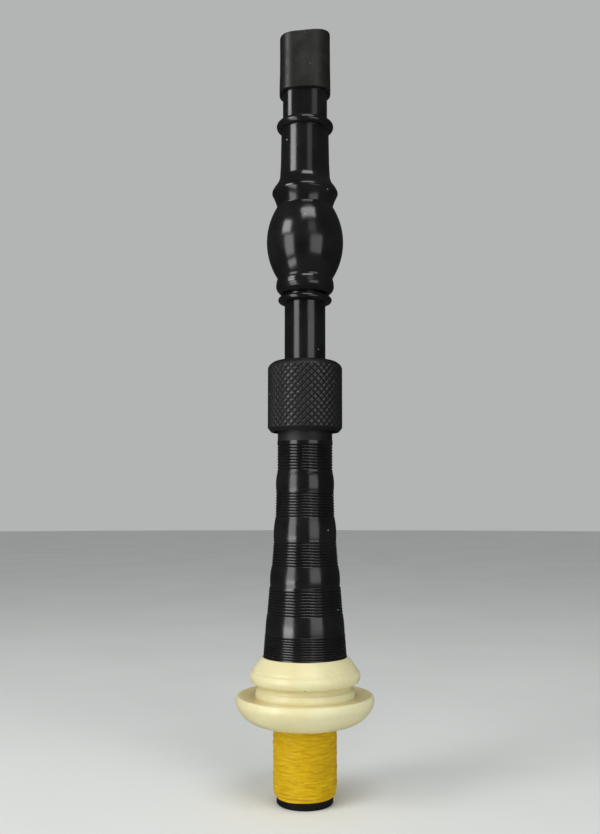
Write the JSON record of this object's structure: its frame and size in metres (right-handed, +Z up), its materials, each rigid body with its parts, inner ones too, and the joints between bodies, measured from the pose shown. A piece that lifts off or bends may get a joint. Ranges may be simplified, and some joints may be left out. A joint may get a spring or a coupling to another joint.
{
  "type": "adjustable bagpipe blowpipe",
  "caption": "Telescopic blowpipe of a Highland bagpipe: bulbous mouthpiece on a slide tube, knurled locking collar, combed blowstick, projecting mount, hemped tenon and flap valve.",
  "frame": {"origin": "centre of the tenon's shoulder, in the plane of the projecting mount's flat underside", "axes": "+Z runs up the pipe from the tenon to the bite end; +X is across and -Y faces the front"},
  "size_m": [0.0484, 0.0484, 0.2746],
  "materials": {
    "black_acetal": "gloss",
    "collar_acetal": "matte",
    "imitation_ivory": "satin",
    "bite_rubber": "matte",
    "yellow_hemp": "waxed thread",
    "seal_rubber": "satin",
    "grip_nylon": "satin",
    "washer_brass": "satin",
    "valve_plastic": "satin",
    "flap_silicone": "matte",
    "pin_steel": "polished"
  },
  "bodies": {
    "blowstick": {"blowstick": "black_acetal", "projecting_mount": "imitation_ivory", "tenon_hemp": "yellow_hemp", "guide_bush": "grip_nylon", "gland_seal": "seal_rubber", "valve_housing": "valve_plastic", "valve_seal": "seal_rubber", "flap_pin": "pin_steel"},
    "slide_tube": {"slide_tube": "black_acetal", "slide_seals": "seal_rubber", "mouthpiece_seals": "seal_rubber"},
    "mouthpiece": {"mouthpiece": "black_acetal", "bite_sleeve": "bite_rubber"},
    "grip_ring": {"grip_ring": "grip_nylon", "thrust_washer": "washer_brass"},
    "locking_collar": {"locking_collar": "collar_acetal"},
    "valve_flap": {"valve_flap": "flap_silicone"}
  },
  "joints": [
    {"name": "tube_slide", "type": "slide", "parent": "blowstick", "child": "slide_tube", "axis": [0, 0, 1], "range_m": [-0.019, 0.048]},
    {"name": "mouthpiece_turn", "type": "hinge", "parent": "slide_tube", "child": "mouthpiece", "pos_m": [0, 0, 0.16], "axis": [0, 0, 1], "continuous": true},
    {"name": "grip_rise", "type": "slide", "parent": "blowstick", "child": "grip_ring", "axis": [0, 0, 1], "range_m": [0, 0.0015]},
    {"name": "collar_turn", "type": "hinge", "parent": "grip_ring", "child": "locking_collar", "pos_m": [0, 0, 0.12], "axis": [0, 0, 1], "range_deg": [0, 360]},
    {"name": "flap_swing", "type": "hinge", "parent": "blowstick", "child": "valve_flap", "pos_m": [0, 0.0045, -0.0143], "axis": [1, 0, 0], "range_deg": [0, 70], "stiffness_Nm_per_rad": 0.00003, "springref_deg": -17.19}
  ],
  "couplings": [
    {"joint": "collar_turn", "follows": "grip_rise", "rad_per_m": 4188.8}
  ]
}
